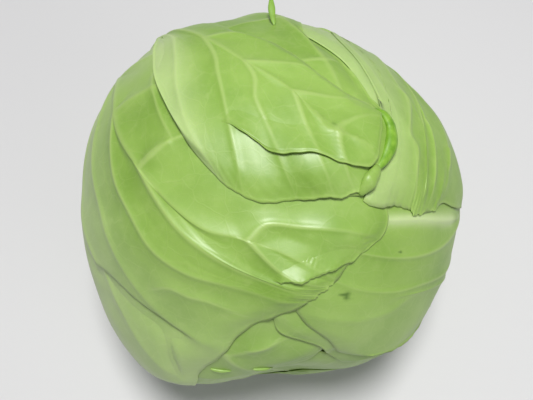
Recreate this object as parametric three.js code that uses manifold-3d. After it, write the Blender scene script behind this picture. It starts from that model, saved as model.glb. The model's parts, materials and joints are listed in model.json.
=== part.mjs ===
// A head cabbage lying on its side: a dense inner head, the cut stump of its stem, and the loose outer
// leaves, each a thin curved blade that wraps the head from the stem towards the apex.
// Millimetres, +Z up, the floor at z = 0, the head's middle straight above the origin.
import * as THREE from "three";
import { mergeVertices } from "three/addons/utils/BufferGeometryUtils.js";
import Module from "manifold-3d";

const wasm = await Module();
wasm.setup();

// Head
const HEAD_RADIUS = 94.5; // the inner head across its widest
const HEAD_HEIGHT = 91.5; // the middle above the floor
const AXIS_AZIMUTH = -48.9; // the axis from stem to apex, in degrees
const AXIS_ELEVATION = 26.1;
const FLATTENING = 0.03; // how much shorter the head is along its axis than across it
const PLANE_RADIUS = 98; // one radian on a leaf's plane, in millimetres
const FLAT_TOP = 1.7; // the height over the inner head that touches the floor on the flat spot
const FLAT_SPREAD = 2; // how much further apart the layers lie there
const FLAT_BLEND = 2.5; // rounding where the flat spot meets the head

// Leaves
const BLADE = 0.8; // thickness
const GAP = 0.9; // clearance between neighbouring leaves
const CLEARANCE = 0.45; // the least rise of a blade over what lies below it
const RIB_RISE = 1.8; // side ribs
const MIDRIB_RISE = 2.6; // midrib at the stem
const PUCKER = 0.3; // how far the tissue bulges between ribs
const RUFFLE = [2.1, 1.3]; // how fast the ruffle of the margins turns, in radians for a row and a column
const RUFFLE_POWER = 6; // how close to the margin the ruffle keeps
const NEAR_MIDRIB = 20; // below this length a rib ruffles less
const CELL = 4; // spacing of the height maps on each leaf's plane
const REACH = 12; // how far a leaf takes to follow a step below it
const STATION_STEPS = 3; // rows of the grid from one rib to the next
const BOW = 0.4; // how far ribs bow outwards, by their length
const SLOPE_CHECKS = 8; // places along a face's side where its clearance is tested

// Torn flaps and rolled margins
const SUNK = 0.4; // how deep they run into the blade that they stand on
const RAISED_STEPS = [14, 4]; // faces along and across one

// Inner head
const HEAD_FACES = [48, 24]; // round the axis and from the stem to the apex
const HEAD_LEAVES = 5; // margins of its own leaves that show round it
const HEAD_STEP = 1.1; // the step at each of them
const HEAD_DEPTH = 0.6; // how far it lies below the head's smooth shape
const HEAD_TWIST = 0.9; // how far the margins turn round the axis on their way to the apex

// Stump: radius at each height along the axis, measured from the inner head's surface
const STEM = [[0, -14], [11, -14], [13.4, -4], [13.8, 3], [12.6, 7], [12.9, 11], [12.1, 12], [0, 11.4]];
const STEM_SIDES = 32;
const STEM_FIT = 0.35; // room around the stump in its seat
const STEM_SEAT = HEAD_RADIUS * (1 - FLATTENING); // the head's surface, from its middle

const rad = THREE.MathUtils.degToRad;
const vec = (x, y, z) => new THREE.Vector3(x, y, z);
const ray = (azimuth, elevation) =>
  vec(
    Math.cos(rad(elevation)) * Math.cos(rad(azimuth)),
    Math.cos(rad(elevation)) * Math.sin(rad(azimuth)),
    Math.sin(rad(elevation))
  );
const axis = ray(AXIS_AZIMUTH, AXIS_ELEVATION);
const axisUp = vec(0, 0, 1).addScaledVector(axis, -axis.z).normalize();
const axisSide = axis.clone().cross(axisUp);

// Swellings and hollows of the head: azimuth, elevation, height in millimetres, width in degrees
const LOBES = [
  [-118, -5, 8.5, 15],
  [-51, -2, 7, 19],
  [-85, -7, -10, 11],
  [143, 32, 3, 30],
  [-173, 15, -1.5, 14],
  [-7, 15, 2.5, 16],
  [68, 39, -2.5, 24],
];
const lobes = LOBES.map(([azimuth, elevation, height, width]) => ({
  to: ray(azimuth, elevation),
  height,
  sharpness: 1 / rad(width) ** 2,
}));

function headRadius(d) {
  let r = HEAD_RADIUS * (1 - FLATTENING * d.dot(axis) ** 2);
  for (const lobe of lobes) {
    r += lobe.height * Math.exp(lobe.sharpness * (d.dot(lobe.to) - 1));
  }
  return r;
}

function smoothMin(a, b, k) {
  const h = Math.max(k - Math.abs(a - b), 0) / k;
  return Math.min(a, b) - (h * h * k) / 4;
}

// How far from the head's middle a point lies in direction d at height w over the inner head. Every
// height has its own level over the floor, so that all layers run flat on the flat spot.
function radiusAt(d, w) {
  let r = headRadius(d) + w;
  if (d.z < 0) {
    r = smoothMin(r, (HEAD_HEIGHT + (w - FLAT_TOP) * FLAT_SPREAD) / -d.z, FLAT_BLEND);
    r = Math.min(r, HEAD_HEIGHT / -d.z);
  }
  return r;
}

const pointAt = (d, w) => d.clone().multiplyScalar(radiusAt(d, w)).add(vec(0, 0, HEAD_HEIGHT));

// A leaf's plane touches the head at an angle `around` the axis and an angle `from` the stem. x runs
// across the leaf, y towards its tip, and distances from the middle of the plane are true arc lengths.
function leafPlane(around, from) {
  const out = axisUp.clone().multiplyScalar(Math.cos(rad(around)));
  out.addScaledVector(axisSide, Math.sin(rad(around)));
  const middle = axis.clone().multiplyScalar(-Math.cos(rad(from)));
  middle.addScaledVector(out, Math.sin(rad(from)));
  const along = axis.clone().multiplyScalar(Math.sin(rad(from)));
  along.addScaledVector(out, Math.cos(rad(from)));
  return { middle, along, across: along.clone().cross(middle) };
}

function toHead(plane, x, y) {
  const angle = Math.hypot(x, y) / PLANE_RADIUS;
  const turn = Math.atan2(x, y);
  const side = plane.along.clone().multiplyScalar(Math.cos(turn));
  side.addScaledVector(plane.across, Math.sin(turn));
  return plane.middle.clone().multiplyScalar(Math.cos(angle)).addScaledVector(side, Math.sin(angle));
}

function toPlane(plane, d) {
  const angle = Math.acos(THREE.MathUtils.clamp(d.dot(plane.middle), -1, 1));
  const turn = Math.atan2(d.dot(plane.across), d.dot(plane.along));
  return [PLANE_RADIUS * angle * Math.sin(turn), PLANE_RADIUS * angle * Math.cos(turn)];
}

// A smooth curve through points, read by its share of the length
function curve(points) {
  const line = new THREE.CatmullRomCurve3(points.map(([x, y]) => vec(x, y, 0)), false, "centripetal");
  line.arcLengthDivisions = 300;
  return (share) => line.getPointAt(THREE.MathUtils.clamp(share, 0, 1));
}

// Leaves from the inmost to the outmost. `mid` is the midrib from the stem to the tip, `left` and
// `right` are the margins from the stem to the tip. Each rib has its start along the midrib, its ends
// along the left and the right margin as shares of their lengths and, where it doesn't just bow
// outwards, the points that it passes on the left and on the right. `tip` is where the front margin
// begins on each side. `wave` is the ruffle of the margin in millimetres.
const LEAVES = [
  {
    name: "lower_front_leaf", colour: 0xbcd690, at: [135, 100], wave: 1.0, columns: 14,
    mid: [[0, -154], [-8, -80], [-14, 0], [-12, 60], [-6, 100]],
    left: [[-11, -153], [-50, -100], [-74, -20], [-76, 40], [-56, 84], [-6, 100]],
    right: [[11, -153], [22, -105], [25, -60], [34, -15], [52, 40], [46, 82], [-6, 100]],
    ribs: [[0.2, 0.2, 0.2], [0.4, 0.4, 0.4], [0.6, 0.58, 0.58], [0.78, 0.72, 0.72]],
    tip: [0.82, 0.82],
  },
  {
    name: "front_inner_leaf", colour: 0xb9d48a, at: [100, 105], wave: 0.8, columns: 16,
    mid: [[0, -162], [-14, -90], [-24, -10], [-20, 40], [-19, 66], [-22, 100]],
    left: [[-11, -161], [-50, -100], [-76, -20], [-80, 50], [-60, 90], [-22, 100]],
    right: [
      [11, -161], [20, -90], [12, -20], [2, 8], [1, 22], [8, 27], [4, 33], [9, 42], [11, 50], [5, 60],
      [6, 74], [0, 92], [-22, 100],
    ],
    ribs: [[0.18, 0.16, 0.18], [0.34, 0.3, 0.34], [0.5, 0.45, 0.52], [0.65, 0.6, 0.66], [0.8, 0.72, 0.8]],
    tip: [0.84, 0.9],
  },
  {
    name: "under_leaf", colour: 0xa4c86c, at: [178, 84], wave: 1.2, columns: 18,
    mid: [[0, -127], [4, -60], [0, 20], [6, 92]],
    left: [[-11, -126], [-50, -90], [-72, -20], [-70, 40], [-44, 84], [6, 92]],
    right: [[11, -126], [52, -90], [76, -20], [74, 44], [46, 88], [6, 92]],
    ribs: [[0.14, 0.16, 0.16], [0.28, 0.3, 0.3], [0.42, 0.42, 0.42], [0.6, 0.56, 0.56], [0.78, 0.7, 0.7]],
    tip: [0.8, 0.8],
  },
  {
    name: "inner_apex_leaf", colour: 0xa9cc72, at: [-130, 120], wave: 0.8, columns: 16,
    mid: [[0, -188], [8, -120], [6, -40], [14, 20], [22, 69], [28, 100], [28, 140]],
    left: [
      [-11, -187], [-30, -110], [-40, -20], [-42, 40], [-46, 76], [-54, 99], [-50, 113], [-38, 130],
      [-34, 152], [-8, 162], [28, 140],
    ],
    right: [[11, -187], [46, -120], [62, -40], [72, 30], [76, 90], [62, 128], [28, 140]],
    ribs: [
      [0.12, 0.1, 0.12], [0.24, 0.22, 0.25], [0.36, 0.34, 0.38], [0.48, 0.46, 0.5], [0.6, 0.58, 0.62],
      [0.72, 0.7, 0.74],
    ],
    tip: [0.86, 0.84],
  },
  {
    name: "apex_leaf", colour: 0x9fc562, at: [-130, 120], wave: 0.5, columns: 18,
    mid: [[0, -188], [10, -120], [12, -40], [24, 20], [34, 64], [42, 91], [46, 112], [52, 140]],
    left: [
      [-11, -187], [-26, -110], [-34, -20], [-31, 30], [-30, 70], [-37, 93], [-42, 112], [-31, 128],
      [-19, 146], [10, 162], [52, 140],
    ],
    right: [[11, -187], [50, -120], [78, -40], [92, 30], [98, 90], [88, 128], [52, 140]],
    ribs: [
      [0.12, 0.1, 0.12], [0.24, 0.22, 0.24], [0.34, 0.36, 0.36],
      [0.43, 0.825, 0.46, [[-2, 30], [-1, 64], [0, 92], [-9, 106], [-13, 120], [-13, 136]], null],
      [0.52, 0.925, 0.56, [[8, 34], [4, 62], [5, 87], [4, 109], [7, 128], [14, 142]], null],
      [0.7, 0.96, 0.68],
    ],
    tip: [0.98, 0.8],
  },
  {
    name: "left_leaf", colour: 0xa2c965, at: [34, 105], wave: 0.5, columns: 20,
    mid: [
      [0, -163], [-22, -120], [-24, -70], [-7, -33], [0, -9], [6, 16], [7, 32], [3, 46], [0, 68], [1, 91],
    ],
    left: [
      [-11, -162], [-46, -120], [-58, -50], [-56, 20], [-50, 62], [-42, 94], [-30, 101], [-10, 93],
      [1, 91],
    ],
    right: [
      [11, -162], [50, -140], [90, -80], [112, -20], [116, 20], [104, 42], [81, 49], [64, 57], [47, 64],
      [32, 73], [16, 84], [1, 91],
    ],
    ribs: [
      [0.07, 0.1, 0.18], [0.14, 0.2, 0.34], [0.2, 0.3, 0.5],
      [0.26, 0.4, 0.7, null, [[17, -72], [36, -58], [50, -32], [64, -6], [78, 16]]],
      [0.34, 0.5, 0.82, null, [[-5, -62], [14, -46], [32, -18], [44, 2], [54, 22], [58, 44]]],
      [0.48, 0.6, 0.95, null, [[2, -30], [12, -18], [20, -1], [27, 16], [28, 32], [24, 52], [21, 68]]],
      [0.62, 0.66, 0.967, [[-7, -5], [-18, 0], [-34, 16]], [[12, 20], [16, 50]]],
      [0.845, 0.907, 0.985, [[-7, 53], [-14, 67], [-22, 84]], [[8, 68]]],
    ],
    tip: [0.95, 0.993],
  },
  {
    name: "right_leaf", colour: 0x9dc65c, at: [-72, 110], wave: 0.6, columns: 18,
    mid: [[0, -171], [-2, -90], [10, -20], [20, 20], [19, 40], [16, 58], [13, 81]],
    left: [
      [-11, -170], [-50, -120], [-72, -50], [-66, 10], [-44, 44], [-26, 60], [-12, 67], [-1, 71], [6, 77],
      [13, 81],
    ],
    right: [
      [11, -170], [50, -130], [76, -60], [72, -18], [60, 12], [55, 36], [47, 48], [47, 61], [51, 73],
      [56, 87], [44, 88], [30, 84], [20, 85], [13, 81],
    ],
    ribs: [
      [0.14, 0.14, 0.16], [0.27, 0.28, 0.3],
      [0.32, 0.4, 0.9, null, [[30, -50], [50, -14], [47, 14], [42, 36], [43, 62]]],
      [0.44, 0.54, 0.953, null, [[20, -24], [30, 4], [30, 26], [35, 48], [31, 62]]],
      [0.68, 0.96, 0.976, [[8, 22], [2, 42], [2, 56]], [[24, 40], [22, 66]]],
    ],
    tip: [0.985, 0.99],
  },
  {
    name: "side_leaf", colour: 0x8fbf4a, at: [-35, 105], wave: 0.5, columns: 14,
    mid: [[0, -163], [2, -90], [12, -20], [18, 30], [28, 77]],
    left: [
      [-10, -162], [-34, -110], [-16, -50], [10, -12], [5, 10], [4, 30], [2, 46], [7, 61], [16, 69],
      [28, 77],
    ],
    right: [[10, -162], [40, -110], [52, -50], [54, 10], [50, 50], [42, 72], [28, 77]],
    ribs: [[0.18, 0.18, 0.18], [0.36, 0.36, 0.36], [0.54, 0.54, 0.54], [0.72, 0.72, 0.72]],
    tip: [0.86, 0.86],
  },
  {
    name: "top_leaf", colour: 0xa0c862, at: [-6, 100], wave: 0.4, columns: 18,
    mid: [[0, -155], [1, -110], [5, -23], [3, 7], [-2, 30], [-3, 46], [-9, 62], [-14, 76]],
    left: [
      [-10, -154], [-18, -110], [-14, -50], [-10, -20], [-18, 4], [-20, 20], [-23, 34], [-31, 53],
      [-28, 66], [-14, 76],
    ],
    right: [
      [10, -154], [16, -110], [12, -56], [16, -28], [30, -14], [41, 4], [46, 28], [43, 51], [34, 62],
      [21, 70], [7, 78], [-4, 79], [-14, 76],
    ],
    ribs: [
      [0.12, 0.12, 0.14], [0.28, 0.28, 0.71, null, [[8, -64], [11, -42], [20, -23], [33, -2], [40, 14]]],
      [0.57, 0.62, 0.765, null, [[10, -6], [15, 3], [22, 16], [32, 34]]],
      [0.69, 0.78, 0.85, [[-6, 14], [-16, 22]], [[6, 16], [12, 24], [16, 36], [22, 54]]],
      [0.8, 0.86, 0.905, [[-14, 40]], [[4, 46], [9, 62]]], [0.9, 0.9, 0.94],
    ],
    tip: [0.93, 0.965],
  },
];

// What stands up from the leaves, each between two lines in its leaf's plane: the flap of a tear
// rises from its root to its free edge, and a rolled margin is a round ridge between the two.
const RAISED = [
  {
    leaf: "left_leaf", rise: 2.0, rolled: false,
    root: [[11, 63], [7, 65], [0, 71], [-8, 77], [-15, 85], [-17, 93]],
    edge: [[13, 66], [11, 71], [7, 76], [4, 79], [-1, 84], [-5, 88], [-9, 92]],
  },
  {
    leaf: "side_leaf", rise: 2.2, rolled: true,
    root: [[3.8, 46], [4.8, 54], [7.4, 59.5], [12.8, 65]],
    edge: [[7, 46], [7.2, 53], [9.6, 58], [14.4, 63.6]],
  },
  {
    leaf: "top_leaf", rise: 2.2, rolled: false,
    root: [[27, 19], [21, 22], [15, 31], [8, 40], [-3, 43], [-16, 44], [-24, 46], [-28, 51]],
    edge: [
      [29, 22], [27, 27], [25, 35], [22, 46], [16, 52], [8, 58], [2, 66], [-5, 72], [-9, 73], [-14, 71],
      [-19, 67], [-25, 61], [-28, 55],
    ],
  },
];

// How far each rib, side by side with its straight chord, bows out at each share of its length. The
// last one is the front margin.
function ribBows(mid, margin, stations, side, half) {
  return stations.map((station, k) => {
    const last = k === stations.length - 1;
    const root = mid(station[0]);
    const end = margin(station[1 + side]);
    const chord = end.clone().sub(root);
    const via = station[3 + side];
    const path = via && curve([[root.x, root.y], ...via, [end.x, end.y]]);
    const bow = [];
    for (let column = 0; column <= half; column++) {
      const share = column / half;
      if (last || path) {
        const point = last ? margin(1 - (1 - station[1 + side]) * share) : path(share);
        bow.push(point.sub(root).addScaledVector(chord, -share));
      } else {
        const out = (side ? BOW : -BOW) * share * (1 - share);
        bow.push(vec(chord.y, -chord.x, 0).multiplyScalar(out));
      }
    }
    return bow;
  });
}

// A leaf's plan: every grid point (row, column) in the leaf's plane, its share of a rib and its share
// of the way from the midrib to the margin
function leafPlan(leaf) {
  const mid = curve(leaf.mid);
  const margins = [curve(leaf.left), curve(leaf.right)];
  const stations = [[0, 0, 0], ...leaf.ribs, [1, leaf.tip[0], leaf.tip[1]]];
  const half = leaf.columns / 2;
  const bows = [0, 1].map((side) => ribBows(mid, margins[side], stations, side, half));
  const rows = [];
  for (let row = 0; row <= (stations.length - 1) * STATION_STEPS; row++) {
    const k = Math.min(Math.floor(row / STATION_STEPS), stations.length - 2);
    const part = row / STATION_STEPS - k;
    const at = [0, 1, 2].map((i) => stations[k][i] * (1 - part) + stations[k + 1][i] * part);
    const isRib = part === 0 && k > 0 ? 1 : 0;
    const line = [];
    for (let column = -half; column <= half; column++) {
      const side = column < 0 ? 0 : 1;
      const share = Math.abs(column) / half;
      const start = mid(at[0]);
      const point = start.clone().lerp(margins[side](at[1 + side]), share);
      point.addScaledVector(bows[side][k][Math.abs(column)], 1 - part);
      point.addScaledVector(bows[side][k + 1][Math.abs(column)], part);
      // the ruffle of the margin
      const turn = row * RUFFLE[0] + column * RUFFLE[1] + leaf.at[0];
      const ruffle = leaf.wave * share ** RUFFLE_POWER * Math.sin(turn);
      const away = point.clone().sub(start);
      point.addScaledVector(away, ruffle / Math.max(away.length(), NEAR_MIDRIB));
      line.push({ x: point.x, y: point.y, isRib: row < 1 ? 0 : isRib, share, along: at[0] });
    }
    rows.push(line);
  }
  return rows;
}

// A map of heights over a leaf's plane, on square cells
class HeightMap {
  constructor(box) {
    this.left = box.left;
    this.low = box.low;
    this.wide = Math.ceil((box.right - box.left) / CELL) + 1;
    this.tall = Math.ceil((box.high - box.low) / CELL) + 1;
    this.values = new Float64Array(this.wide * this.tall).fill(-1e9);
  }

  each(work) {
    for (let j = 0; j < this.tall; j++) {
      for (let i = 0; i < this.wide; i++) {
        work(this.left + i * CELL, this.low + j * CELL, i + j * this.wide);
      }
    }
  }

  // the highest of the four cells about a point
  highest(x, y) {
    const i = Math.floor((x - this.left) / CELL);
    const j = Math.floor((y - this.low) / CELL);
    if (i < 0 || j < 0 || i >= this.wide - 1 || j >= this.tall - 1) {
      return -1e9;
    }
    const at = i + j * this.wide;
    const v = this.values;
    return Math.max(v[at], v[at + 1], v[at + this.wide], v[at + this.wide + 1]);
  }

  // a straight blend of the four cells about a point
  blend(x, y) {
    const u = THREE.MathUtils.clamp((x - this.left) / CELL, 0, this.wide - 1.001);
    const v = THREE.MathUtils.clamp((y - this.low) / CELL, 0, this.tall - 1.001);
    const i = Math.floor(u);
    const j = Math.floor(v);
    const at = i + j * this.wide;
    const low = this.values[at] * (1 - u + i) + this.values[at + 1] * (u - i);
    const high = this.values[at + this.wide] * (1 - u + i) + this.values[at + this.wide + 1] * (u - i);
    return low * (1 - v + j) + high * (v - j);
  }

  // each cell becomes `pick` of the cells within reach of it
  gather(pick) {
    const span = Math.floor(REACH / CELL + 0.5);
    const values = new Float64Array(this.values.length);
    for (let j = 0; j < this.tall; j++) {
      for (let i = 0; i < this.wide; i++) {
        const near = [];
        for (let q = -span; q <= span; q++) {
          for (let p = -span; p <= span; p++) {
            const inside = i + p >= 0 && i + p < this.wide && j + q >= 0 && j + q < this.tall;
            if (inside && p * p + q * q <= (span + 0.3) ** 2) {
              near.push(this.values[i + p + (j + q) * this.wide]);
            }
          }
        }
        values[i + j * this.wide] = pick(near);
      }
    }
    this.values = values;
  }

  // raises the cells about every point of a triangle to its height there
  cover(corners) {
    const size = Math.max(
      ...corners.map((a, k) => Math.hypot(a.x - corners[(k + 1) % 3].x, a.y - corners[(k + 1) % 3].y))
    );
    const steps = Math.ceil((2 * size) / CELL);
    for (let n = 0; n <= steps; n++) {
      for (let m = 0; m <= steps - n; m++) {
        const shares = [n / steps, m / steps, (steps - n - m) / steps];
        const mix = (key) => corners.reduce((sum, corner, k) => sum + shares[k] * corner[key], 0);
        const row = Math.floor((mix("y") - this.low) / CELL);
        const at = Math.floor((mix("x") - this.left) / CELL) + row * this.wide;
        const height = mix("high");
        for (const cell of [at, at + 1, at + this.wide, at + this.wide + 1]) {
          this.values[cell] = Math.max(this.values[cell], height);
        }
      }
    }
  }
}

function closedGeometry(points, faces) {
  const geometry = new THREE.BufferGeometry();
  geometry.setAttribute("position", new THREE.Float32BufferAttribute(points.flatMap((p) => p.toArray()), 3));
  geometry.setIndex(faces);
  return mergeVertices(geometry, 1e-4);
}

function finish(geometry) {
  const faceted = geometry.toNonIndexed();
  faceted.computeVertexNormals();
  return faceted;
}

// The inner head's own heights: the steps at the margins of the leaves in it
function innerRelief(d) {
  const around = Math.atan2(d.dot(axisSide), d.dot(axisUp));
  const from = Math.acos(THREE.MathUtils.clamp(-d.dot(axis), -1, 1));
  const turns = ((around + HEAD_TWIST * from) / (2 * Math.PI)) * HEAD_LEAVES;
  const step = turns - Math.floor(turns);
  return HEAD_STEP * (step - 0.5) * Math.sin(from) ** 2 - HEAD_DEPTH;
}

const stack = []; // the leaves already laid

function heightBelow(d) {
  let height = 0;
  for (const lower of stack) {
    const [x, y] = toPlane(lower.plane, d);
    height = Math.max(height, lower.map.highest(x, y));
  }
  return height;
}

// Lifts a face's corners until the whole flat face, which dips under the round of the head between
// its corners, clears the leaves below it
function clearBelow(plane, corners) {
  const dirs = corners.map((corner) => toHead(plane, corner.x, corner.y));
  for (let i = 0; i <= SLOPE_CHECKS; i++) {
    for (let j = 0; j <= SLOPE_CHECKS - i; j++) {
      const shares = [i, j, SLOPE_CHECKS - i - j].map((n) => n / SLOPE_CHECKS);
      const place = vec(0, 0, 0);
      corners.forEach((corner, k) => {
        place.addScaledVector(dirs[k], shares[k] * radiusAt(dirs[k], corner.low));
      });
      const out = place.length();
      const d = place.normalize();
      const short = radiusAt(d, heightBelow(d) + CLEARANCE) - out;
      if (short > 0) {
        const lift = short / shares.reduce((sum, share) => sum + share * share, 0);
        corners.forEach((corner, k) => {
          corner.low += lift * shares[k];
        });
      }
    }
  }
}

// The triangles between a leaf's rows, each pair split along the way its ribs run
function gridFaces(rows) {
  const wide = rows[0].length;
  const faces = [];
  for (let j = 0; j < rows.length - 1; j++) {
    for (let i = 0; i < wide - 1; i++) {
      const [a, b] = [j * wide + i, j * wide + i + 1];
      const [c, d] = [b + wide, a + wide];
      const onLeft = i < (wide - 1) / 2;
      faces.push(onLeft ? [a, b, c] : [a, b, d], onLeft ? [a, c, d] : [b, c, d]);
    }
  }
  return faces;
}

// The faces of a closed blade: the inner sheet, the outer sheet and the rim between them. Both sheets
// have the same rows of points, and the outer sheet's points follow the inner sheet's.
function closeSheets(quads, wide, tall) {
  const shift = wide * tall;
  const last = shift - wide;
  const rim = [];
  for (let i = 0; i < wide - 1; i++) {
    rim.push([i, i + 1], [last + i + 1, last + i]);
  }
  for (let j = 0; j < shift - wide; j += wide) {
    rim.push([j + wide - 1, j + 2 * wide - 1], [j + wide, j]);
  }
  const faces = [];
  for (const [a, b, c] of quads) {
    faces.push(shift + a, shift + b, shift + c, a, c, b);
  }
  for (const [a, b] of rim) {
    faces.push(a, b, shift + b, a, shift + b, shift + a);
  }
  return faces;
}

// A flap or a rolled margin: a closed piece that follows the leaf's outer face, sunk into it. The
// line from the head's middle finds that face.
function makeRaised(plane, blade, { root, edge, rise, rolled }) {
  const [long, wide] = RAISED_STEPS;
  const lines = [curve(root), curve(edge)];
  const target = new THREE.Mesh(blade, new THREE.MeshBasicMaterial({ side: THREE.DoubleSide }));
  const middle = vec(0, 0, HEAD_HEIGHT);
  const inner = [];
  const outer = [];
  const rows = [];
  for (let j = 0; j <= long; j++) {
    rows.push([]);
    for (let i = 0; i <= wide; i++) {
      const share = i / wide;
      const place = lines[0](j / long).lerp(lines[1](j / long), share);
      const d = toHead(plane, place.x, place.y);
      const hits = new THREE.Raycaster(middle, d).intersectObject(target);
      const end = Math.max(Math.sin((Math.PI * j) / long), 0) ** 0.5;
      const lift = end * (rolled ? Math.max(Math.sin(Math.PI * share), 0) ** 0.7 : share ** 1.5);
      const face = hits[hits.length - 1].distance;
      rows[j].push(place);
      inner.push(d.clone().multiplyScalar(face - SUNK).add(middle));
      outer.push(d.clone().multiplyScalar(face - SUNK / 2 + rise * lift).add(middle));
    }
  }
  return closedGeometry([...inner, ...outer], closeSheets(gridFaces(rows), wide + 1, long + 1));
}

function makeLeaf(leaf) {
  const plane = leafPlane(...leaf.at);
  const rows = leafPlan(leaf);
  const all = rows.flat();
  const room = 3 * CELL;
  const box = {
    left: Math.min(...all.map((p) => p.x)) - room,
    right: Math.max(...all.map((p) => p.x)) + room,
    low: Math.min(...all.map((p) => p.y)) - room,
    high: Math.max(...all.map((p) => p.y)) + room,
  };
  const below = new HeightMap(box);
  below.each((x, y, at) => {
    below.values[at] = heightBelow(toHead(plane, x, y));
  });
  below.gather((near) => Math.max(...near));
  below.gather((near) => near.reduce((sum, v) => sum + v, 0) / near.length);

  const quads = gridFaces(rows);
  for (const point of all) {
    point.low = below.blend(point.x, point.y) + GAP;
  }
  for (const face of quads) {
    clearBelow(plane, face.map((i) => all[i]));
  }

  const inner = [];
  const outer = [];
  for (const point of all) {
    const d = toHead(plane, point.x, point.y);
    const w = point.low;
    const midrib = point.share === 0 ? MIDRIB_RISE * (1 - point.along) ** 0.7 : 0;
    const rib = point.isRib * RIB_RISE * (1 - point.share ** 3);
    const pucker = point.isRib || point.share === 0 || point.share === 1 ? 0 : PUCKER;
    point.high = w + BLADE + Math.max(midrib, rib) + pucker;
    inner.push(pointAt(d, w));
    outer.push(pointAt(d, point.high));
  }
  const faces = closeSheets(quads, rows[0].length, rows.length);
  const map = new HeightMap(box);
  for (const [a, b, c] of quads) {
    map.cover([all[a], all[b], all[c]]);
  }
  stack.push({ plane, map });
  const blade = closedGeometry([...inner, ...outer], faces);
  const raised = RAISED.filter((item) => item.leaf === leaf.name);
  if (raised.length === 0) {
    return blade;
  }
  const pieces = raised.map((item) => solid(makeRaised(plane, blade, item)));
  return fromSolid(outerShell(pieces.reduce((whole, piece) => whole.add(piece), solid(blade))));
}

// The inner head, a closed ball about the axis
function makeInnerHead() {
  const [around, rings] = HEAD_FACES;
  const points = [axis.clone().negate()];
  for (let j = 1; j < rings; j++) {
    const from = (Math.PI * j) / rings;
    for (let i = 0; i < around; i++) {
      const turn = (2 * Math.PI * i) / around;
      const d = axis.clone().multiplyScalar(-Math.cos(from));
      d.addScaledVector(axisUp, Math.sin(from) * Math.cos(turn));
      d.addScaledVector(axisSide, Math.sin(from) * Math.sin(turn));
      points.push(d);
    }
  }
  points.push(axis.clone());
  const faces = [];
  const at = (j, i) => 1 + (j - 1) * around + (i % around);
  for (let i = 0; i < around; i++) {
    faces.push(0, at(1, i + 1), at(1, i));
    for (let j = 1; j < rings - 1; j++) {
      faces.push(at(j, i), at(j + 1, i + 1), at(j + 1, i), at(j, i), at(j, i + 1), at(j + 1, i + 1));
    }
    faces.push(points.length - 1, at(rings - 1, i), at(rings - 1, i + 1));
  }
  return closedGeometry(points.map((d) => pointAt(d, innerRelief(d))), faces);
}

// The stump along the axis, grown by a margin on every side
function makeStem(grown) {
  const profile = STEM.map(([radius, height], k) => {
    const end = k < 2 ? -grown : k > STEM.length - 3 ? grown : 0;
    return new THREE.Vector2(radius > 0 ? radius + grown : 0, height + end);
  });
  const geometry = new THREE.LatheGeometry(profile, STEM_SIDES);
  geometry.applyQuaternion(new THREE.Quaternion().setFromUnitVectors(vec(0, 1, 0), axis.clone().negate()));
  const foot = axis.clone().multiplyScalar(-STEM_SEAT);
  geometry.translate(foot.x, foot.y, foot.z + HEAD_HEIGHT);
  geometry.deleteAttribute("normal");
  geometry.deleteAttribute("uv");
  return mergeVertices(geometry, 1e-3);
}

const solid = (geometry) =>
  new wasm.Manifold(
    new wasm.Mesh({
      numProp: 3,
      vertProperties: new Float32Array(geometry.attributes.position.array),
      triVerts: new Uint32Array(geometry.index.array),
    })
  );

// A solid with the pockets sealed inside it filled
const outerShell = (shape) => shape.decompose().reduce((a, b) => (a.volume() > b.volume() ? a : b));

function fromSolid(shape) {
  const mesh = shape.getMesh();
  const geometry = new THREE.BufferGeometry();
  geometry.setAttribute("position", new THREE.BufferAttribute(mesh.vertProperties.slice(), 3));
  geometry.setIndex(new THREE.BufferAttribute(mesh.triVerts.slice(), 1));
  return geometry;
}

const group = new THREE.Group();

function add(name, colour, geometry) {
  const material = new THREE.MeshStandardMaterial({ color: colour, roughness: 0.42, metalness: 0 });
  const mesh = new THREE.Mesh(finish(geometry), material);
  mesh.name = name;
  group.add(mesh);
}

const stem = makeStem(0);
add("inner_head", 0xb4d287, fromSolid(solid(makeInnerHead()).subtract(solid(makeStem(STEM_FIT)))));
add("stem", 0xe0e6c0, stem);
for (const leaf of LEAVES) {
  add(leaf.name, leaf.colour, makeLeaf(leaf));
}

// the origin under the middle of the whole box
const middle = new THREE.Box3().setFromObject(group).getCenter(vec(0, 0, 0));
group.position.set(-middle.x, -middle.y, 0);

export default group;
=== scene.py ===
"""A head cabbage lying on its side: the inner head, the cut stump and the loose outer leaves.

How the form is worked out, in millimetres and on whole grids at once:
- The head is a ball, slightly shorter along its axis, with a few rounded swellings and hollows. A height w
  over it is a length along the ray from the head's middle. Under the head every height has its own level
  over the floor, so that the layers run flat where the head rests.
- Each leaf has a plane that touches the head. Its points are true distances along the head's surface from
  the plane's middle, x across the leaf and y towards its tip. The midrib and both margins are smooth curves
  on that plane. A row runs from the midrib to the margin along each side rib, and the last row is the front
  margin.
- Leaves are laid one after the other. The height map of all that lies below is widened, smoothed and taken
  as the next leaf's inner face, so a blade rides over the edges and ribs below it and never meets them.
- Ribs are broad low swellings along the rows with a narrow crest. The tissue between them bulges a little.
  Near its margin a blade keeps close to what lies below, and further in it bridges the steps.
- A torn flap is a sheet between its root, where it lies in the blade, and its free edge above the blade. A
  rolled margin is a tube along a line of the leaf's plane.
"""
import json
import math

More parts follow.
